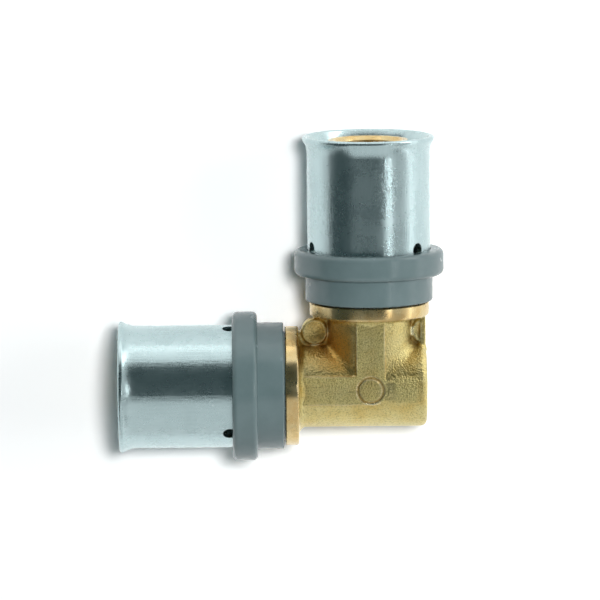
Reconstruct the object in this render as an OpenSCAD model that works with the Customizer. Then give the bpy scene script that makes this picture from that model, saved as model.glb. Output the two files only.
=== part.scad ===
// Press elbow, 90 degrees, for composite heating pipe.
// A forged brass body carries a turned spigot at each end. A grey plastic ring snaps onto the root of each
// spigot and holds a stainless press sleeve, and two rubber seals lie in grooves near the spigot's tip.
// The port axes cross at the origin and lie in the XY plane: the x port opens towards -X and the y port
// towards +Y. Lengths along a port are measured from that crossing.

/* [Pipe] */
// Outside diameter of the pipe
pipe_od = 20; // [19.8:0.05:20.4]
// Wall of the pipe
pipe_wall = 2; // [1.9:0.05:2.1]
// Radial room between the spigot and the pipe's bore
pipe_bore_gap = 0.1; // [0.05:0.05:0.25]
// Radial room between the pipe and the press sleeve
pipe_sleeve_gap = 0.6; // [0.4:0.05:0.8]

/* [Forging] */
// Diameter of the legs and of the closed stub
leg_d = 16; // [15.2:0.1:16.6]
// How far the drill's full diameter runs past the crossing
drill_past = 2.4; // [1.5:0.1:3]
// Full angle of the drill point
drill_angle = 118; // [100:1:140]
// Length of the closed stub, from the crossing
stub_l = 10.9; // [10.8:0.1:13]
// Rounding of the stub's end
stub_edge = 1.2; // [0.5:0.1:2]
// Crossing to the back of the collar
collar_at = 13.7; // [13.3:0.1:15]
// Diameter of the collar
collar_d = 22.95; // [22:0.05:24]
// Width of the collar
collar_w = 2.6; // [2:0.1:3.5]
// Rounding of the collar's back edge
collar_edge = 0.5; // [0.2:0.1:0.8]
// Chamfer of the collar's front edge
collar_chamfer = 0.2; // [0.1:0.05:0.4]
// Fillet between leg and collar
collar_root = 1.7; // [0.8:0.1:2]

/* [Marking pads] */
// Width of the flat L-shaped pads on the front and back of the legs
pad_w = 5.6; // [4.5:0.1:6.5]
// How far the pads lie below the crest of the legs
pad_sink = 0.2; // [0.1:0.05:0.3]
// Reach of the pad's rounded corner past the crossing
pad_nose = 3.4; // [3.2:0.1:4]
// Diameter of the plain round seat at the corner of the front pad
seat_d = 5.2; // [4:0.1:5.4]
// Width of the seat's groove
seat_line = 0.35; // [0.2:0.05:0.6]
// Depth of the seat's groove
seat_deep = 0.12; // [0.05:0.01:0.2]

/* [Ejector bosses] */
// Diameter of the round boss in each corner between the legs
boss_d = 5; // [4:0.1:5.2]
// Distance of the boss from each port axis
boss_at = 10.6; // [10.5:0.1:11]
// Thickness of the boss
boss_t = 3.2; // [2:0.1:4]
// Rounding of the boss's rims
boss_edge = 0.4; // [0.2:0.05:0.6]
// Diameter of the dish in the boss's face
dish_d = 4.1; // [3:0.1:4.2]
// Depth of the dish
dish_deep = 0.55; // [0.2:0.05:0.8]
// Thickness of the web that carries the inner boss
web_t = 2; // [1:0.1:2.4]
// Crossing to the end face of the outer boss
rail_at = 10.7; // [10.2:0.1:10.8]
// Width of the rail between the outer boss's dish and its end face
rail_w = 1.05; // [0.6:0.05:1.4]

/* [Spigot] */
// Wall between the spigot's outside and the waterway
spigot_wall = 1.8; // [1.6:0.05:2.2]
// Crossing to the tip of the spigot
tip_at = 47.5; // [46:0.1:49]
// Length of the tip's taper
taper_l = 1.6; // [1:0.1:2.5]
// Drop in radius over the taper
taper_drop = 0.3; // [0.1:0.05:0.5]
// Chamfer inside the tip
lead_in = 0.75; // [0.3:0.05:0.8]
// Thickness of the rubber seals
seal_t = 1.5; // [1.3:0.05:1.7]
// How far the free seals stand proud of the spigot
seal_proud = 0.35; // [0.2:0.05:0.5]
// Room beside a seal in its groove
seal_room = 0.2; // [0.1:0.05:0.4]
// Room under a seal in its groove
seal_seat = 0.02; // [0.01:0.01:0.05]
// Tip to the middle of the outer seal
outer_seal_from_tip = 4.9; // [4:0.1:5.5]
// Middle of the outer seal to the middle of the inner seal
seal_pitch = 5.2; // [4:0.1:6]
// Number of gripping barbs
barbs = 3; // [2:1:3]
// Pitch of the barbs
barb_pitch = 2.1; // [1.5:0.1:2.3]
// Height of the barbs
barb_h = 0.45; // [0.2:0.05:0.6]
// Middle of the inner seal to the foot of the last barb
barb_from_seal = 3.6; // [3:0.1:4]
// Collar to the groove that holds the plastic ring
latch_from_collar = 2.2; // [1.5:0.1:3]
// Width of that groove
latch_w = 1.6; // [1.2:0.1:2]
// Depth of that groove
latch_deep = 0.5; // [0.3:0.05:0.6]

/* [Retaining ring] */
// Diameter of the ring's low band
band_d = 24.45; // [24:0.05:26]
// Length of the low band
band_l = 5; // [4:0.1:6]
// Diameter of the ring's flange
flange_d = 28.7; // [28:0.1:31]
// Length of the flange
flange_l = 4.85; // [4:0.05:6]
// Rounding of the flange's edges
flange_edge = 1; // [0.5:0.1:1.3]
// Rounding of the band's back edge
band_edge = 0.25; // [0.1:0.05:0.4]
// Shadow gap between the collar and the band
shadow_gap = 0.3; // [0.2:0.05:0.6]
// Distance of the pipe's stop below the flange's front face
stop_drop = 0.85; // [0.5:0.05:1.2]
// Depth of the slot for the sleeve, from the flange's front face
slot_deep = 4.05; // [3:0.05:4.4]
// Radial room round the spigot and on both sides of the sleeve
ring_gap = 0.1; // [0.05:0.05:0.15]
// Room in front of and behind the ring's bead in its groove
bead_room = 0.15; // [0.1:0.05:0.3]

/* [Press sleeve] */
// Wall of the sleeve
sleeve_wall = 1.2; // [0.8:0.05:1.3]
// Crossing to the mouth of the sleeve
mouth_at = 48.3; // [47:0.1:50]
// Length of the flare, without its lip
flare_l = 2.7; // [2:0.1:3.2]
// Growth of the wall's middle radius over the flare
flare_out = 0.87; // [0.5:0.01:1.2]
// Height of the inward hook at the sleeve's hidden end
hook_h = 0.4; // [0.2:0.05:0.5]
// Length of that hook
hook_l = 0.8; // [0.5:0.05:1]
// Room between the sleeve's hidden end and the slot's floor
sleeve_end_gap = 0.1; // [0.05:0.05:0.2]
// Number of inspection windows
windows = 3; // [2:1:4]
// Diameter of an inspection window
window_d = 2.65; // [2:0.05:3]
// Pipe's stop to the middle of the windows
window_from_stop = 1.4; // [1.3:0.05:2]
// Turn of the first window on the x port, from +Z towards +Y
window_turn_x = 78; // [-180:1:180]
// Turn of the first window on the y port, from +Z towards +X
window_turn_y = 51; // [-180:1:180]

/* [Hidden] */
$fn = 96;
// Overlap of solids that are joined
eps = 0.4;
// Reach of cutters past what they cut
past = 1;
// Rounding of corners that stay sharp, and overlap where more would show
sharp = 0.01;
// How far the webs and the rail reach into the legs
web_sink = 1;

spigot_r = pipe_od / 2 - pipe_wall - pipe_bore_gap;
bore_r = spigot_r - spigot_wall;
drill_point_l = bore_r / tan(drill_angle / 2);
leg_r = leg_d / 2;
collar_r = collar_d / 2;
collar_front = collar_at + collar_w;
pad_top = leg_r - pad_sink;
seat_r = seat_d / 2;

taper_at = tip_at - taper_l;
tip_r = spigot_r - taper_drop;
groove_w = seal_t + 2 * seal_room;
groove_r = spigot_r + seal_proud - seal_t - seal_seat;
seal_mid_r = groove_r + seal_seat + seal_t / 2;
outer_seal_at = tip_at - outer_seal_from_tip;
inner_seal_at = outer_seal_at - seal_pitch;
barbs_end = inner_seal_at - barb_from_seal;
latch_at = collar_front + latch_from_collar;

band_r = band_d / 2;
flange_r = flange_d / 2;
band_at = collar_front + shadow_gap;
flange_at = band_at + band_l;
flange_front = flange_at + flange_l;
stop_at = flange_front - stop_drop;
slot_floor = flange_front - slot_deep;

sleeve_bore_r = pipe_od / 2 + pipe_sleeve_gap;
sleeve_r = sleeve_bore_r + sleeve_wall;
sleeve_mid_r = sleeve_bore_r + sleeve_wall / 2;
sleeve_end = slot_floor + sleeve_end_gap;
lip_r = sleeve_wall / 2;
lip_at = mouth_at - lip_r;
flare_at = lip_at - flare_l;
flare_angle = 2 * atan(flare_out / flare_l);
flare_mid_r = flare_l / sin(flare_angle);
window_at = stop_at + window_from_stop;

hub_r = sleeve_bore_r - ring_gap;
hub_bore_r = spigot_r + ring_gap;
bead_r = spigot_r - latch_deep + ring_gap;

// Places its child, drawn along +Z, along the x port, with its own X towards +Z
module on_x_port() {
    rotate([0, -90, 0]) children();
}

// Places its child, drawn along +Z, along the y port, with its own X towards +Z
module on_y_port() {
    rotate([-90, 0, 0]) rotate([0, 0, -90]) children();
}

// A square band in a turned profile: radius r0 to r1, length z0 to z1
module band_2d(r0, r1, z0, z1) {
    translate([r0, z0]) square([r1 - r0, z1 - z0]);
}

// A band in a turned profile whose outer corners are rounded, by back at z0 and by front at z1
module rounded_band_2d(r0, r1, z0, z1, back, front) {
    band_2d(r0, r1, z0 + back, z1 - front);
    band_2d(r0, r1 - back, z0, z0 + back);
    band_2d(r0, r1 - front, z1 - front, z1);
    translate([r1 - back, z0 + back]) circle(r = back);
    translate([r1 - front, z1 - front]) circle(r = front);
}

// Leg, collar and the fillet between them
module leg_and_collar() {
    rotate_extrude() {
        band_2d(0, leg_r, 0, collar_at + eps);
        difference() {
            band_2d(0, leg_r + collar_root, collar_at - collar_root, collar_at + eps);
            translate([leg_r + collar_root, collar_at - collar_root]) circle(r = collar_root);
        }
        difference() {
            rounded_band_2d(0, collar_r, collar_at, collar_front + collar_edge, collar_edge, collar_edge);
            polygon([
                [collar_r - collar_chamfer, collar_front],
                [collar_r + past, collar_front - collar_chamfer - past],
                [collar_r + past, collar_front + past],
                [0, collar_front + past],
                [0, collar_front]
            ]);
        }
    }
}

// One gripping barb: it slopes up from the mouth's side and drops steeply towards the collar
module barb_2d(crest_at) {
    polygon([
        [spigot_r - barb_h, crest_at],
        [spigot_r, crest_at],
        [spigot_r - barb_h, crest_at + barb_pitch],
        [0, crest_at + barb_pitch],
        [0, crest_at]
    ]);
}

// The turned spigot, from inside the collar to the tip
module spigot() {
    barbs_from = barbs_end - barbs * barb_pitch;
    rotate_extrude() difference() {
        union() {
            band_2d(0, spigot_r, collar_front - eps, barbs_from);
            for (i = [0 : barbs - 1]) barb_2d(barbs_from + i * barb_pitch);
            band_2d(0, spigot_r, barbs_end, taper_at);
            polygon([[0, taper_at], [spigot_r, taper_at], [tip_r, tip_at], [0, tip_at]]);
        }
        for (at = [inner_seal_at, outer_seal_at])
            band_2d(groove_r, spigot_r + past, at - groove_w / 2, at + groove_w / 2);
        band_2d(spigot_r - latch_deep, spigot_r + past, latch_at, latch_at + latch_w);
    }
}

// The waterway of one port: drilled from the tip to just past the crossing, and countersunk at the tip
module waterway() {
    translate([0, 0, -drill_past]) cylinder(r = bore_r, h = drill_past + tip_at + past);
    translate([0, 0, -drill_past - drill_point_l]) cylinder(r1 = 0, r2 = bore_r, h = drill_point_l);
    translate([0, 0, tip_at - lead_in])
        cylinder(r1 = bore_r, r2 = bore_r + 2 * lead_in, h = 2 * lead_in);
}

// The closed stub opposite the x port
module stub() {
    rotate([0, 90, 0]) rotate_extrude()
        rounded_band_2d(0, leg_r, 0, stub_l, sharp, stub_edge);
}

// Outline of the L-shaped pad, with arms of the given length
module pad_outline(arm) {
    translate([-arm, -pad_w / 2]) square([arm + pad_nose - pad_w / 2, pad_w]);
    translate([-pad_w / 2, 0]) square([pad_w, arm]);
    translate([pad_nose - pad_w / 2, 0]) circle(d = pad_w);
}

// What the pads take off the crest of the legs, in front and behind
module pad_cutters() {
    for (side = [0, 1]) mirror([0, 0, side])
        translate([0, 0, pad_top]) linear_extrude(leg_r) pad_outline(collar_at - collar_root);
}

// What the pads add beside the crest of the legs
module pads() {
    translate([0, 0, -pad_top]) linear_extrude(2 * pad_top) pad_outline(collar_at);
}

// A round plain groove at the corner of the front pad
module seat_groove() {
    translate([0, 0, pad_top - seat_deep]) linear_extrude(leg_r) difference() {
        circle(r = seat_r);
        circle(r = seat_r - seat_line);
    }
}

// The body of a boss: a disc with rounded rims
module boss_disc() {
    rotate_extrude()
        rounded_band_2d(0, boss_d / 2, -boss_t / 2, boss_t / 2, boss_edge, boss_edge);
}

// The dishes in both faces of a boss
module dishes() {
    dish_r = dish_d / 2;
    ball_r = (dish_r * dish_r + dish_deep * dish_deep) / (2 * dish_deep);
    for (side = [-1, 1])
        translate([0, 0, side * (boss_t / 2 - dish_deep + ball_r)]) sphere(r = ball_r);
}

// The inner boss, between the two ports, on its web
module inner_boss() {
    reach = collar_at - leg_r + web_sink;
    difference() {
        union() {
            translate([-boss_at, boss_at, 0]) boss_disc();
            translate([-leg_r - reach + web_sink, leg_r - web_sink, -web_t / 2])
                cube([reach, boss_at - leg_r + web_sink, web_t]);
            translate([-boss_at, leg_r - web_sink, -web_t / 2])
                cube([boss_at - leg_r + web_sink, reach, web_t]);
        }
        translate([-boss_at, boss_at, 0]) dishes();
    }
}

// The outer boss, above the stub, cut off by the end face and closed by a rail there
module outer_boss() {
    rail_in = rail_at - rail_w;
    difference() {
        union() {
            intersection() {
                translate([boss_at, boss_at, 0]) boss_disc();
                translate([0, 0, -boss_t]) cube([rail_at, collar_at, 2 * boss_t]);
            }
            translate([rail_in, leg_r - web_sink, -boss_t / 2])
                cube([rail_w, collar_at - leg_r + web_sink + eps, boss_t]);
            translate([leg_r - web_sink, leg_r - web_sink, -web_t / 2])
                cube([rail_in - leg_r + web_sink + eps, collar_at - leg_r + web_sink + eps, web_t]);
        }
        intersection() {
            translate([boss_at, boss_at, 0]) dishes();
            translate([0, 0, -boss_t]) cube([rail_in, collar_at, 2 * boss_t]);
        }
    }
}

module elbow_body() {
    color("goldenrod") difference() {
        union() {
            difference() {
                union() {
                    on_x_port() leg_and_collar();
                    on_y_port() leg_and_collar();
                    stub();
                }
                pad_cutters();
            }
            pads();
            on_x_port() spigot();
            on_y_port() spigot();
            inner_boss();
            outer_boss();
        }
        on_x_port() waterway();
        on_y_port() waterway();
        seat_groove();
    }
}

// Plastic ring: it sits against the collar, its bead snaps into the spigot's groove, and its slot takes
// the sleeve's hooked end. The face of its hub stops the pipe.
module retaining_ring() {
    color("slategray") rotate_extrude() {
        difference() {
            union() {
                rounded_band_2d(hub_bore_r, band_r, band_at, flange_at + flange_edge, band_edge, sharp);
                rounded_band_2d(hub_bore_r, flange_r, flange_at, flange_front, flange_edge, flange_edge);
                band_2d(hub_bore_r, hub_r, collar_front, band_at + eps);
            }
            band_2d(hub_r, sleeve_r + ring_gap, slot_floor, flange_front + past);
            band_2d(0, hub_r + eps, stop_at, flange_front + past);
            hook_groove_2d();
        }
        bead_2d();
    }
}

// Room in the ring's hub for the hook of the sleeve
module hook_groove_2d() {
    band_2d(
        sleeve_bore_r - hook_h - ring_gap, hub_r + eps,
        slot_floor, sleeve_end + hook_l + sleeve_end_gap
    );
}

// The bead inside the ring's hub
module bead_2d() {
    bead_w = latch_w - 2 * bead_room;
    slope = hub_bore_r - bead_r;
    from = latch_at + bead_room;
    polygon([
        [bead_r, from],
        [hub_bore_r + eps, from],
        [hub_bore_r + eps, from + bead_w],
        [hub_bore_r, from + bead_w],
        [bead_r, from + bead_w - slope]
    ]);
}

// The curved wall of the flare: part of a ring about a centre outside the sleeve
module flare_2d() {
    centre_r = sleeve_mid_r + flare_mid_r;
    reach = 2 * flare_mid_r;
    translate([centre_r, flare_at]) intersection() {
        difference() {
            circle(r = flare_mid_r + lip_r);
            circle(r = flare_mid_r - lip_r);
        }
        polygon([[0, 0], [-reach, 0], [-reach, reach * tan(flare_angle)]]);
    }
    translate([sleeve_mid_r + flare_out, lip_at]) circle(r = lip_r);
}

// Stainless sleeve that the press tool crimps onto the pipe
module press_sleeve(window_turn) {
    color("silver") difference() {
        rotate_extrude() {
            band_2d(sleeve_bore_r, sleeve_r, sleeve_end, flare_at + sharp);
            band_2d(sleeve_bore_r - hook_h, sleeve_bore_r + eps, sleeve_end, sleeve_end + hook_l);
            flare_2d();
        }
        for (i = [0 : windows - 1])
            rotate([0, 0, window_turn + i * 360 / windows])
                translate([0, 0, window_at]) rotate([0, 90, 0])
                    translate([0, 0, spigot_r]) cylinder(d = window_d, h = sleeve_r);
    }
}

// Rubber seal ring
module seal(at) {
    color("black") translate([0, 0, at]) rotate_extrude() translate([seal_mid_r, 0]) circle(d = seal_t);
}

elbow_body();
on_x_port() retaining_ring();  // retaining_ring_x
on_y_port() retaining_ring();  // retaining_ring_y
on_x_port() press_sleeve(window_turn_x);  // press_sleeve_x
on_y_port() press_sleeve(window_turn_y);  // press_sleeve_y
on_x_port() seal(outer_seal_at);  // outer_seal_x
on_y_port() seal(outer_seal_at);  // outer_seal_y
on_x_port() seal(inner_seal_at);  // inner_seal_x
on_y_port() seal(inner_seal_at);  // inner_seal_y
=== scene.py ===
import bpy, bmesh, math
import numpy as np
from mathutils import Matrix, Vector


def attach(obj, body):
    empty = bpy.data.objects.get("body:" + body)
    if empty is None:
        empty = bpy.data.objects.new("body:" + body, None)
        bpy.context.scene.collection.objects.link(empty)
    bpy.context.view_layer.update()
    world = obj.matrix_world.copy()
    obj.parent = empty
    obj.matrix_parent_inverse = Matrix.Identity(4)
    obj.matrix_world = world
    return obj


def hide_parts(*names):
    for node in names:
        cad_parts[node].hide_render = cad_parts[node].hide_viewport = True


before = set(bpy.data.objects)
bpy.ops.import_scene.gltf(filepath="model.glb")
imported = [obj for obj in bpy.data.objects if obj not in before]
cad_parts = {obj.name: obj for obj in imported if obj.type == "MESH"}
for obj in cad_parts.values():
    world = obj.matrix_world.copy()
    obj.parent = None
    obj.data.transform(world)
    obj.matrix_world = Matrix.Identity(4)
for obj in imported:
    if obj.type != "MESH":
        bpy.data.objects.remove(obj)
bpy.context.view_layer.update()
MM = 0.001


def make_camera():
    cam = bpy.data.objects.new("camera", bpy.data.cameras.new("camera"))
    bpy.context.collection.objects.link(cam)
    cam.data.sensor_width = 36.0
    cam.data.lens = 318.83
    cam.data.clip_start, cam.data.clip_end = 0.05, 10.0
    right = Vector((0.99993, -0.00894, 0.00745)).normalized()
    back = Vector((-0.00617, 0.13618, 0.99066)).normalized()
    up = back.cross(right).normalized()
    right = up.cross(back).normalized()
    m = Matrix((right, up, back)).transposed().to_4x4()
    m.translation = Vector((-0.01961, 0.15574, 1.01224))
    cam.matrix_world = m
    bpy.context.scene.camera = cam
    return cam


class Nodes:
    """Short hand for building a material's node tree."""

    def __init__(self, name):
        self.mat = bpy.data.materials.new(name)
        self.mat.use_nodes = True
        self.t = self.mat.node_tree
        self.t.nodes.clear()
        self.out = self.t.nodes.new("ShaderNodeOutputMaterial")

    def new(self, kind, **props):
        n = self.t.nodes.new(kind)
        for k, v in props.items():
            setattr(n, k, v)
        return n

    def put(self, socket, value):
        if isinstance(value, bpy.types.NodeSocket):
            self.t.links.new(value, socket)
        else:
            socket.default_value = value

    def coords(self):
        return self.new("ShaderNodeTexCoord").outputs["Object"]

    def mapping(self, vec, scale=(1, 1, 1), loc=(0, 0, 0), rot=(0, 0, 0)):
        n = self.new("ShaderNodeMapping")
        self.put(n.inputs["Vector"], vec)
        n.inputs["Scale"].default_value = scale
        n.inputs["Location"].default_value = loc
        n.inputs["Rotation"].default_value = rot
        return n.outputs[0]

    def noise(self, vec, scale, detail=4.0, rough=0.55, distortion=0.0):
        n = self.new("ShaderNodeTexNoise")
        self.put(n.inputs["Vector"], vec)
        n.inputs["Scale"].default_value = scale
        n.inputs["Detail"].default_value = detail
        n.inputs["Roughness"].default_value = rough
        n.inputs["Distortion"].default_value = distortion
        return n.outputs["Fac"]

    def voronoi(self, vec, scale, feature="F1", out="Distance"):
        n = self.new("ShaderNodeTexVoronoi", feature=feature)
        self.put(n.inputs["Vector"], vec)
        n.inputs["Scale"].default_value = scale
        return n.outputs[out]

    def ramp(self, fac, *stops):
        n = self.new("ShaderNodeValToRGB")
        self.put(n.inputs["Fac"], fac)
        e = n.color_ramp.elements
        while len(e) < len(stops):
            e.new(0.5)
        for el, (pos, col) in zip(e, stops):
            el.position = pos
            el.color = (*col, 1) if len(col) == 3 else (col[0],) * 3 + (1,)
        return n.outputs["Color"]

    def span(self, fac, a, b, c, d):
        n = self.new("ShaderNodeMapRange")
        self.put(n.inputs["Value"], fac)
        for k, v in zip(("From Min", "From Max", "To Min", "To Max"), (a, b, c, d)):
            n.inputs[k].default_value = v
        return n.outputs[0]

    def math(self, op, a, b=0.0):
        n = self.new("ShaderNodeMath", operation=op)
        self.put(n.inputs[0], a)
        self.put(n.inputs[1], b)
        return n.outputs[0]

    def mix(self, fac, a, b, mode="MIX"):
        n = self.new("ShaderNodeMix", data_type="RGBA", blend_type=mode)
        self.put(n.inputs["Factor"], fac)
        for s, v in ((n.inputs[6], a), (n.inputs[7], b)):
            self.put(s, v if isinstance(v, bpy.types.NodeSocket) else (*v, 1))
        return n.outputs[2]

    def bump(self, height, dist, strength=1.0, normal=None):
        n = self.new("ShaderNodeBump")
        self.put(n.inputs["Height"], height)
        n.inputs["Distance"].default_value = dist
        n.inputs["Strength"].default_value = strength
        if normal is not None:
            self.put(n.inputs["Normal"], normal)
        return n.outputs[0]

    def shade(self, **values):
        n = self.new("ShaderNodeBsdfPrincipled")
        for k, v in values.items():
            k = k.replace("_", " ")
            self.put(n.inputs[k], (*v, 1) if isinstance(v, tuple) and len(v) == 3 else v)
        self.t.links.new(n.outputs[0], self.out.inputs["Surface"])
        return self.mat


def attribute(m, name):
    """A value stored on the mesh's points."""
    return m.new("ShaderNodeAttribute", attribute_name=name).outputs["Fac"]


def forged_brass():
    """Shot-blasted forging: pebbled skin, painted shade that makes it darker and more orange in its hollows, a
    painted orange reflection in the inner corner, and edges that are less rough and carry a painted highlight.
    """
    m = Nodes("forged_brass")
    at = m.coords()
    painted_shade, edge, pad, painted_orange_reflection = (attribute(m, n) for n in ("painted_shade", "edge", "pad", "painted_orange_reflection"))
    cloud = m.noise(at, 170, 5, 0.6)
    stain = m.noise(at, 420, 3, 0.6)
    grain = m.noise(at, 3300, 2, 0.6)
    pits = m.voronoi(at, 2700)
    tone = m.ramp(cloud, (0.32, (0.63, 0.47, 0.16)), (0.5, (0.69, 0.575, 0.245)), (0.68, (0.69, 0.605, 0.29)))
    tone = m.mix(m.span(stain, 0.5, 0.75, 0, 0.35), tone, (0.52, 0.36, 0.11))
    # Painted reflection: orange light from the surrounding brass, painted into the inner corner between the legs
    tone = m.mix(painted_orange_reflection, tone, (0.72, 0.40, 0.09))
    # Painted shade: darker and more orange in creases and hollows
    tone = m.mix(m.math("MULTIPLY", painted_shade, 0.8), tone, (0.50, 0.25, 0.06))
    tone = m.mix(m.math("MULTIPLY", pad, 0.7), tone, (0.76, 0.67, 0.29))
    tone = m.mix(m.span(grain, 0.36, 0.50, 0.55, 0), tone, (0.26, 0.20, 0.06))
    # Painted highlight: paler, whiter brass along the convex edges
    tone = m.mix(edge, tone, (0.95, 0.88, 0.58))
    rough = m.span(cloud, 0.3, 0.7, 0.28, 0.4)
    rough = m.math("ADD", rough, m.math("MULTIPLY", pad, 0.14))
    rough = m.math("SUBTRACT", rough, m.math("MULTIPLY", edge, 0.1))
    skin = m.math("ADD", m.math("MULTIPLY", grain, m.span(pad, 0, 1, 0.5, 2.0)), m.math("MULTIPLY", pits, 0.5))
    normal = m.bump(skin, 0.00018, 0.95)
    return m.shade(Base_Color=tone, Metallic=1.0, Roughness=rough, Normal=normal)


def along(m, at, port):
    """Distance along a port, and radius about its axis, in metres."""
    xyz = m.new("ShaderNodeSeparateXYZ")
    m.put(xyz.inputs[0], at)
    x, y, z = xyz.outputs
    side = y if port == "x" else x
    radius = m.math("SQRT", m.math("ADD", m.math("MULTIPLY", side, side), m.math("MULTIPLY", z, z)))
    return (x if port == "x" else y), radius, m.math("ARCTAN2", side, z)


def turned_brass(port):
    """Machined brass: fine tool lines round the axis, slightly pinker than the forging."""
    m = Nodes(f"turned_brass_{port}")
    at = m.coords()
    s, radius, turn = along(m, at, port)
    path = m.new("ShaderNodeCombineXYZ")
    m.put(path.inputs[0], m.math("MULTIPLY", m.math("ADD", s, radius), 5200))
    m.put(path.inputs[1], m.math("MULTIPLY", turn, 1.2))
    lines = m.noise(path.outputs[0], 1.0, 4, 0.7)
    cloud = m.noise(at, 260, 4, 0.6)
    tone = m.ramp(cloud, (0.34, (0.60, 0.41, 0.17)), (0.52, (0.67, 0.51, 0.25)), (0.7, (0.71, 0.57, 0.31)))
    tone = m.mix(m.span(lines, 0.4, 0.28, 0, 0.4), tone, (0.44, 0.29, 0.13))
    rough = m.span(m.noise(at, 700, 3), 0.3, 0.7, 0.24, 0.32)
    tangent = m.new("ShaderNodeTangent", direction_type="RADIAL", axis=port.upper())
    return m.shade(Base_Color=tone, Metallic=1.0, Roughness=rough, Anisotropic=0.8, Anisotropic_Rotation=0.25,
                   Tangent=tangent.outputs[0], Normal=m.bump(lines, 0.00003, 0.5))


def grey_plastic():
    """Moulded ring: faint mould texture, a little colour variation and rubbed specks."""
    m = Nodes("grey_plastic")
    at = m.coords()
    cloud = m.noise(at, 120, 4, 0.6)
    fine = m.noise(at, 3200, 2, 0.6)
    specks = m.voronoi(at, 420)
    tone = m.ramp(cloud, (0.3, (0.135, 0.195, 0.200)), (0.7, (0.165, 0.230, 0.236)))
    tone = m.mix(m.span(specks, 0.05, 0.02, 0, 0.15), tone, (0.24, 0.31, 0.32))
    rough = m.span(cloud, 0.3, 0.7, 0.2, 0.28)
    return m.shade(Base_Color=tone, Roughness=rough, Normal=m.bump(fine, 0.000012, 0.6))


def stainless(port):
    """Drawn sleeve: satin skin with drawing streaks, cloudy rolling marks and pale specks."""
    m = Nodes(f"stainless_{port}")
    at = m.coords()
    s, radius, turn = along(m, at, port)
    streak_at = m.new("ShaderNodeCombineXYZ")
    m.put(streak_at.inputs[0], m.math("MULTIPLY", s, 160))
    m.put(streak_at.inputs[1], m.math("MULTIPLY", turn, 26))
    streaks = m.noise(streak_at.outputs[0], 1.0, 5, 0.65)
    cloud = m.noise(at, 190, 5, 0.62)
    grain = m.noise(at, 1500, 4, 0.7)
    specks = m.voronoi(at, 520)
    tone = m.ramp(m.math("ADD", m.math("MULTIPLY", cloud, 0.6), m.math("MULTIPLY", streaks, 0.4)),
                  (0.32, (0.43, 0.54, 0.55)), (0.5, (0.48, 0.60, 0.61)), (0.68, (0.52, 0.64, 0.65)))
    tone = m.mix(m.span(grain, 0.40, 0.30, 0, 0.25), tone, (0.32, 0.41, 0.42))
    marked = m.math("MULTIPLY", m.span(specks, 0.10, 0.05, 0, 1), m.span(m.noise(at, 90), 0.5, 0.6, 0, 0.7))
    tone = m.mix(marked, tone, (0.74, 0.83, 0.83))
    rough = m.span(m.math("ADD", cloud, m.math("MULTIPLY", grain, 0.5)), 0.5, 1.0, 0.24, 0.31)
    normal = m.bump(grain, 0.00002, 0.8, m.bump(streaks, 0.00005, 0.5))
    tangent = m.new("ShaderNodeTangent", direction_type="RADIAL", axis=port.upper())
    return m.shade(Base_Color=tone, Metallic=1.0, Roughness=rough, Anisotropic=0.5, Anisotropic_Rotation=0.25,
                   Tangent=tangent.outputs[0], Normal=normal)


def rubber():
    """Lubricated seal: black with a faint bloom."""
    m = Nodes("rubber")
    at = m.coords()
    bloom = m.noise(at, 600, 4, 0.6)
    tone = m.ramp(bloom, (0.35, (0.016, 0.016, 0.017)), (0.7, (0.035, 0.036, 0.038)))
    rough = m.span(bloom, 0.3, 0.7, 0.3, 0.5)
    return m.shade(Base_Color=tone, Roughness=rough, Normal=m.bump(m.noise(at, 2500), 0.00002, 0.5))


def dress(node, material):
    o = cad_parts[node]
    for s in o.material_slots:
        s.material = material


def piece(name, verts, faces, material, nodes, sharp=35):
    """A mesh in millimetres that stands for the given CAD nodes."""
    me = bpy.data.meshes.new(name)
    me.from_pydata((np.asarray(verts) * MM).tolist(), [], [list(map(int, q)) for q in faces])
    me.validate()
    bm = bmesh.new()
    bm.from_mesh(me)
    bmesh.ops.recalc_face_normals(bm, faces=bm.faces)
    for e in bm.edges:
        e.smooth = len(e.link_faces) != 2 or e.calc_face_angle(0) < math.radians(sharp)
    for p in bm.faces:
        p.smooth = True
    bm.to_mesh(me)
    bm.free()
    me.materials.append(material)
    o = bpy.data.objects.new(name, me)
    bpy.context.collection.objects.link(o)
    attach(o, "root")
    if nodes:
        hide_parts(*nodes)
    return o


def arc(centre, r, a0, a1, n=6):
    """Points on an arc of a turned profile, from angle a0 to a1 in degrees."""
    return [(centre[0] + r * math.cos(math.radians(a0 + (a1 - a0) * i / n)),
             centre[1] + r * math.sin(math.radians(a0 + (a1 - a0) * i / n))) for i in range(n + 1)]


def softened(points, r, n=3):
    """A closed profile whose corners are rounded by about r."""
    out = []
    for i, p in enumerate(points):
        a, b = Vector(points[i - 1]), Vector(points[(i + 1) % len(points)])
        p = Vector(p)
        da, db = a - p, b - p
        if da.angle(db) > math.radians(150):
            out.append(tuple(p))
            continue
        cut = min(r, da.length * 0.45, db.length * 0.45)
        pa, pb = p + da.normalized() * cut, p + db.normalized() * cut
        for k in range(n + 1):
            t = k / n
            out.append(tuple(pa * (1 - t) ** 2 + p * 2 * t * (1 - t) + pb * t ** 2))
    return out


def turned(profile, port, steps=192):
    """Verts and faces of a closed profile of (radius, distance) turned about a port's axis."""
    verts, faces = [], []
    n = len(profile)
    for i in range(steps):
        a = 2 * math.pi * i / steps
        for r, s in profile:
            u, z = r * math.cos(a), r * math.sin(a)
            verts.append((-s, u, z) if port == "x" else (u, s, z))
    for i in range(steps):
        j = (i + 1) % steps
        for k in range(n):
            m = (k + 1) % n
            faces.append((i * n + k, j * n + k, j * n + m, i * n + m))
    return verts, faces


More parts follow.
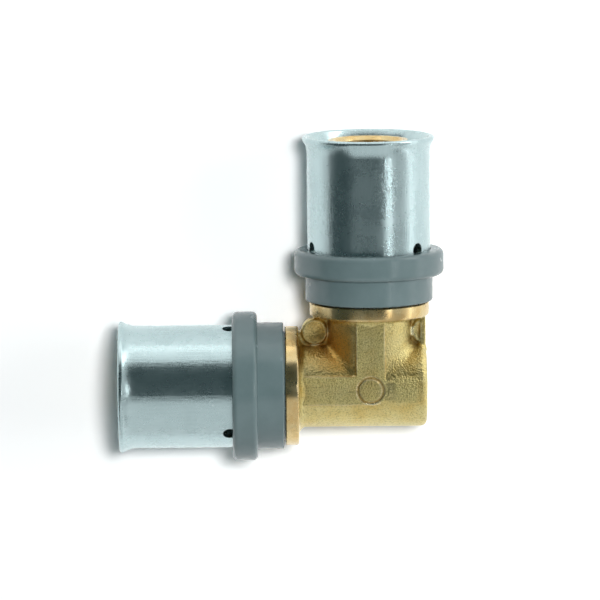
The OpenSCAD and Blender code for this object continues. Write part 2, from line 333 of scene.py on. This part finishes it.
# Sizes of the forging in millimetres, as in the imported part
SPIGOT_R, BORE_R, LEG_R = 7.9, 6.1, 8.0
COLLAR_AT, COLLAR_W, COLLAR_R = 13.7, 2.6, 11.475
PAD_TOP, PAD_HALF, PAD_NOSE = 7.8, 2.8, 3.4
ROOT_R, ROOT_FILLET = 7.75, 2.0
STUB_L, STUB_EDGE = 10.9, 1.2
BOSS_AT, BOSS_R, BOSS_HALF, BOSS_EDGE = 10.6, 2.5, 1.6, 0.4
DISH_R, DISH_DEEP, WEB_HALF = 2.05, 0.55, 1.0
RAIL_AT, RAIL_W = 10.7, 1.05
DRILL_PAST, DRILL_SLOPE = 2.4, math.radians(59)
SEAT_R = 2.6


def filleted(a, b, r):
    """Union of two distance fields with a concave fillet of radius r."""
    return np.maximum(np.minimum(a, b), r) - np.hypot(np.maximum(r - a, 0), np.maximum(r - b, 0))


def eased(a, b, r):
    """Intersection of two distance fields with a rounded edge of radius r."""
    return np.minimum(np.maximum(a, b), -r) + np.hypot(np.maximum(r + a, 0), np.maximum(r + b, 0))


def box2(x, y, x0, x1, y0, y1):
    """Distance to a rectangle."""
    qx = np.abs(x - (x0 + x1) / 2) - (x1 - x0) / 2
    qy = np.abs(y - (y0 + y1) / 2) - (y1 - y0) / 2
    return np.hypot(np.maximum(qx, 0), np.maximum(qy, 0)) + np.minimum(np.maximum(qx, qy), 0)


def pad_outline(x, y):
    """Distance, seen from the front, to the L-shaped pad with its round nose."""
    arm = COLLAR_AT + 1
    along_x = box2(x, y, -arm, PAD_NOSE - PAD_HALF, -PAD_HALF, PAD_HALF)
    along_y = box2(x, y, -PAD_HALF, PAD_HALF, 0, arm)
    nose = np.hypot(x - PAD_NOSE + PAD_HALF, y) - PAD_HALF
    return np.minimum(np.minimum(along_x, nose), along_y)


def forging(x, y, z):
    """Signed distance, in millimetres, to the forged body between its two collars."""
    rx, ry = np.hypot(y, z), np.hypot(x, z)
    az = np.abs(z)
    wobble = 0.015 * np.sin(0.9 * x + 0.4 * y + 1.3) * np.sin(0.8 * y - 0.5 * z + 0.3 * x)
    wobble += 0.006 * np.sin(2.1 * x - 1.1 * y + 0.9 * z) * np.sin(1.3 * x + 1.9 * y)
    leg_x = np.maximum(rx - LEG_R, -x - COLLAR_AT - 0.5)
    stub = eased(rx - LEG_R, x - STUB_L, STUB_EDGE)
    leg_x = np.maximum(leg_x, stub)
    leg_y = np.maximum(np.maximum(ry - LEG_R, y - COLLAR_AT - 0.5), -y)
    crest = np.clip(1 - (z / LEG_R) ** 2, 0.0001, 1) ** 0.4
    body = filleted(leg_x, leg_y, (1.0 + 0.5 * np.clip((x + 1) / 4, 0, 1)) * crest)
    outline = pad_outline(x, y)
    body = eased(body, -eased(outline, PAD_TOP - az, 0.3), 0.2)
    pads = eased(outline, az - PAD_TOP, 0.15)
    body = filleted(body, pads, 0.12)
    for s, r in ((-x, rx), (y, ry)):
        root = filleted(r - ROOT_R, COLLAR_AT + 0.02 - s, ROOT_FILLET)
        root = np.maximum(np.maximum(root, COLLAR_AT - ROOT_FILLET - s), np.maximum(r - ROOT_R - ROOT_FILLET + 0.1, s - COLLAR_AT - 0.5))
        body = filleted(body, root, 0.15)
    # The boss between the ports, on its web
    bx, by = x + BOSS_AT, y - BOSS_AT
    disc = eased(np.hypot(bx, by) - BOSS_R, az - BOSS_HALF, BOSS_EDGE)
    ball = (DISH_R ** 2 + DISH_DEEP ** 2) / (2 * DISH_DEEP)
    web = np.maximum(box2(x, y, -BOSS_AT, -4, 4, COLLAR_AT + 0.5), az - WEB_HALF)
    web = np.minimum(web, np.maximum(box2(x, y, -COLLAR_AT - 0.5, -4, 4, BOSS_AT), az - WEB_HALF))
    inner = filleted(disc, web, 0.4)
    dish = np.sqrt(bx ** 2 + by ** 2 + (az - BOSS_HALF + DISH_DEEP - ball) ** 2) - ball
    inner = eased(inner, -dish, 0.15)
    # The half boss above the stub, closed by a rail at its end face
    bx = x - BOSS_AT
    rail_in = RAIL_AT - RAIL_W
    half = eased(eased(np.hypot(bx, by) - BOSS_R, az - BOSS_HALF, 0.3), x - RAIL_AT, 0.2)
    rail = eased(box2(x, y, rail_in, RAIL_AT, LEG_R - 1, COLLAR_AT + 0.5), az - BOSS_HALF, 0.2)
    plate = np.maximum(box2(x, y, LEG_R - 1, rail_in + 0.3, LEG_R - 1, COLLAR_AT + 0.5), az - WEB_HALF)
    outer = filleted(filleted(half, rail, 0.2), plate, 0.4)
    dish = np.sqrt(bx ** 2 + by ** 2 + (az - BOSS_HALF + DISH_DEEP - ball) ** 2) - ball
    outer = eased(outer, -eased(dish, x - rail_in, 0.1), 0.15)
    body = filleted(body, inner, 0.5)
    body = filleted(body, outer, 0.7) + wobble
    # Round plain groove at the corner of the front pad
    ring = np.hypot(np.hypot(x, y) - SEAT_R + 0.17, z - PAD_TOP - 0.02) - 0.2
    body = eased(body, -ring, 0.06)
    # The two drilled waterways
    for s, r in ((-x, rx), (y, ry)):
        point = (r - BORE_R) * math.cos(DRILL_SLOPE) - (s + DRILL_PAST) * math.sin(DRILL_SLOPE)
        body = np.maximum(body, -np.maximum(r - BORE_R, point))
        body = np.maximum(body, s - COLLAR_AT - 0.5)
    return body


def surface_net(field, low, high, h):
    """Quad mesh of the zero level of field, with points set on it exactly."""
    axes = [np.arange(a, b + h, h) for a, b in zip(low, high)]
    f = field(*np.meshgrid(*axes, indexing="ij")).astype(np.float32)
    n = [len(a) - 1 for a in axes]
    total = np.zeros((*n, 3), np.float32)
    count = np.zeros(n, np.float32)
    corner = lambda i, j, k: f[i:i + n[0], j:j + n[1], k:k + n[2]]
    for axis in range(3):
        for p in (0, 1):
            for q in (0, 1):
                a = [p, q]
                a.insert(axis, 0)
                b = [p, q]
                b.insert(axis, 1)
                fa, fb = corner(*a), corner(*b)
                hit = (fa < 0) != (fb < 0)
                t = np.where(hit, fa / np.where(hit, fa - fb, 1), 0)
                for c in range(3):
                    total[..., c] += np.where(hit, t if c == axis else a[c], 0)
                count += hit
    used = count > 0
    index = np.full(n, -1)
    index[used] = np.arange(used.sum())
    cell = np.argwhere(used)
    v = np.array(low) + h * (cell + total[used] / count[used][:, None])
    quads = []
    for axis in range(3):
        a = [slice(1, -1)] * 3
        a[axis] = slice(0, -1)
        b = list(a)
        b[axis] = slice(1, None)
        fa, fb = f[tuple(a)], f[tuple(b)]
        hit = np.argwhere((fa < 0) != (fb < 0))
        base = hit + [0 if c == axis else 1 for c in range(3)]
        u, w = [(1, 2), (2, 0), (0, 1)][axis]
        around = []
        for du, dw in ((0, 0), (-1, 0), (-1, -1), (0, -1)):
            at = base.copy()
            at[:, u] += du
            at[:, w] += dw
            around.append(index[at[:, 0], at[:, 1], at[:, 2]])
        q = np.stack(around, 1)
        solid = fa[hit[:, 0], hit[:, 1], hit[:, 2]] < 0
        q[~solid] = q[~solid][:, ::-1]
        quads.append(q)
    quads = np.concatenate(quads)
    for _ in range(3):
        g = gradient(field, v)
        v = v - np.clip(field(*v.T) / np.maximum((g ** 2).sum(1), 0.2), -0.3 * h, 0.3 * h)[:, None] * g
    return v, quads


def gradient(field, v, e=0.02):
    g = np.empty_like(v)
    for c in range(3):
        d = np.zeros(3)
        d[c] = e
        g[:, c] = (field(*(v + d).T) - field(*(v - d).T)) / (2 * e)
    return g


def make_forging(material):
    verts, quads = surface_net(forging, (-14.6, -9.9, -9.9), (11.5, 14.6, 9.9), 0.22)
    o = piece("forged_body", verts, quads, material, ["elbow_body"], 180)
    g = gradient(forging, verts)
    g /= np.maximum(np.linalg.norm(g, axis=1), 1e-6)[:, None]
    # Painted shade mask: how deep a point lies in a crease or hollow
    painted_shade = np.clip((0.6 - forging(*(verts + 0.6 * g).T)) / 0.6, 0, 1)
    # Painted highlight mask: how sharp a convex edge is
    edge = np.clip((0.4 + forging(*(verts - 0.4 * g).T)) / 0.25, 0, 1)
    flat = np.clip((PAD_TOP + 0.06 - np.abs(np.abs(verts[:, 2]) - PAD_TOP) - PAD_TOP) / 0.06, 0, 1) * (np.abs(g[:, 2]) > 0.97)
    x, y, z = verts.T
    stub_patch = np.clip((x - 4.2) / 0.8, 0, 1) * np.clip((2.9 - np.abs(y)) / 0.8, 0, 1) * np.clip(9.6 - x, 0, 1) * (np.abs(z) > 6)
    # Painted orange reflection mask, round the inner corner between the legs and off the pad faces
    painted_orange_reflection = np.exp(-((x + 5.4) ** 2 + (y - 8) ** 2) / 30) * np.clip((7.7 - np.abs(z)) / 0.8, 0, 1)
    flat = np.maximum(flat, stub_patch)
    for name, values in (("painted_shade", painted_shade), ("edge", edge), ("pad", flat), ("painted_orange_reflection", painted_orange_reflection)):
        at = o.data.attributes.new(name, "FLOAT", "POINT")
        at.data.foreach_set("value", values.astype(np.float32))
    return o


def make_turning(port, material):
    """Collar and spigot of one port, turned, with barbs, seal grooves and the countersunk bore."""
    groove_r, half = SPIGOT_R + 0.35 - 1.5 - 0.02, 0.95
    p = [(BORE_R, COLLAR_AT + 0.25), (BORE_R + 0.6, COLLAR_AT + 0.25), (BORE_R + 0.6, COLLAR_AT)]
    p += arc((COLLAR_R - 0.5, COLLAR_AT + 0.5), 0.5, -90, 0, 8)
    p += [(COLLAR_R, 16.1), (COLLAR_R - 0.2, 16.3), (SPIGOT_R, 16.3)]
    p += [(SPIGOT_R, 18.5), (SPIGOT_R - 0.5, 18.5), (SPIGOT_R - 0.5, 20.1), (SPIGOT_R, 20.1)]
    for i in range(3):
        crest = 27.5 + 2.1 * i
        p += [(SPIGOT_R, crest), (SPIGOT_R - 0.45, crest + 0.02)] if i == 0 else [(SPIGOT_R - 0.45, crest - 0.01), (SPIGOT_R, crest), (SPIGOT_R - 0.45, crest + 0.02)]
    for mid in (37.4, 42.6):
        p += [(SPIGOT_R, mid - half), (groove_r, mid - half), (groove_r, mid + half), (SPIGOT_R, mid + half)]
    p += [(SPIGOT_R, 45.9), (SPIGOT_R - 0.3, 47.5), (BORE_R + 0.75, 47.5), (BORE_R, 46.75)]
    verts, faces = turned(softened(p, 0.06, 2), port)
    return piece(f"turned_spigot_{port}", verts, faces, material, ["elbow_body"])


def make_stage():
    """White paper floor: the camera, gloss and glass see one white, and matt surfaces see the paper's own tone."""
    me = bpy.data.meshes.new("floor")
    r, z = 3.0, -0.01436
    me.from_pydata([(-r, -r, z), (r, -r, z), (r, r, z), (-r, r, z)], [], [(0, 1, 2, 3)])
    floor = bpy.data.objects.new("floor", me)
    bpy.context.collection.objects.link(floor)
    m = Nodes("white_paper")
    lp = m.new("ShaderNodeLightPath")
    seen = m.math("MAXIMUM", lp.outputs["Is Glossy Ray"], lp.outputs["Is Transmission Ray"])
    seen = m.math("MAXIMUM", lp.outputs["Is Camera Ray"], seen)
    bsdf = m.new("ShaderNodeBsdfDiffuse")
    m.put(bsdf.inputs[0], m.mix(seen, FLOOR_TONE, FLOOR_SEEN))
    m.t.links.new(bsdf.outputs[0], m.out.inputs["Surface"])
    me.materials.append(m.mat)


def panel(name, at, aim, size, radiance, seen=True, lights=True, colour=(1, 1, 1)):
    """A plain light panel whose face has the given radiance: seen in gloss, or lighting matt surfaces."""
    lamp = bpy.data.lights.new(name, "AREA")
    lamp.shape = "RECTANGLE"
    lamp.size, lamp.size_y = size
    lamp.energy = radiance * math.pi * size[0] * size[1]
    lamp.color = colour
    o = bpy.data.objects.new(name, lamp)
    bpy.context.collection.objects.link(o)
    o.location = at
    o.rotation_mode = "QUATERNION"
    o.rotation_quaternion = (Vector(aim) - Vector(at)).to_track_quat("-Z", "Y")
    o.visible_glossy = seen
    o.visible_diffuse = lights
    return o


def make_world():
    """Dark surroundings with a white band up from the horizon, the same for every kind of ray."""
    world = bpy.data.worlds.new("world")
    bpy.context.scene.world = world
    world.use_nodes = True
    t = world.node_tree
    height = t.nodes.new("ShaderNodeSeparateXYZ")
    t.links.new(t.nodes.new("ShaderNodeTexCoord").outputs["Generated"], height.inputs[0])
    ramp = t.nodes.new("ShaderNodeValToRGB")
    t.links.new(height.outputs["Z"], ramp.inputs[0])
    low, high = ramp.color_ramp.elements
    low.position, low.color = WHITE_UP_TO, (1, 1, 1, 1)
    high.position, high.color = DARK_FROM, SURROUNDINGS
    t.links.new(ramp.outputs[0], t.nodes["Background"].inputs["Color"])


def make_light():
    panel("far_panel", (0, 1.2, 0.42), (0, 0, 0.42), (2.4, 0.86), 1.15, lights=False)
    panel("near_panel", (0.1, -0.75, 0.65), (0.1, 0, -0.1), (1.5, 1.27), 0.75, lights=False)
    panel("right_panel", (1.2, 0, 0.17), (0, 0, 0.17), (2.4, 0.36), 1.0, lights=False)
    panel("right_upper", (1.02, 0, 0.6), (0, 0, 0), (1.8, 0.6), 0.5, lights=False)
    panel("key", (0.67, 0.05, 0.86), (0, 0, 0), (0.28, 0.1), 9, lights=False)
    panel("corner_panel", (0.9, 0.8, 0.13), (0, 0, 0), (0.5, 0.3), 3.2, lights=False)
    panel("soft_box", (0.125, 0.25, 1.2), (0, 0, 0), (0.2, 0.2), 0.66 * math.pi * 1.235 ** 2 / 0.04, seen=False)
    panel("side_fill", (1.0, 0.15, 0.6), (0, 0, 0), (0.8, 0.6), 2.4, seen=False)


FLOOR_SEEN = (1.34, 1.34, 1.34)
FLOOR_TONE = (0.8, 0.8, 0.8)
# Sines of the angles above the horizon at which the white band begins and ends its fade
WHITE_UP_TO, DARK_FROM = 0.1, 0.17
SURROUNDINGS = (0.056, 0.080, 0.084, 1)
scene = bpy.context.scene
scene.view_settings.view_transform = "Standard"
make_camera()
make_world()
make_light()
make_stage()
GREY, RUBBER = grey_plastic(), rubber()
for p in "xy":
    dress(f"retaining_ring_{p}", GREY)
    dress(f"press_sleeve_{p}", stainless(p))
    dress(f"outer_seal_{p}", RUBBER)
    dress(f"inner_seal_{p}", RUBBER)
    make_turning(p, turned_brass(p))
make_forging(forged_brass())
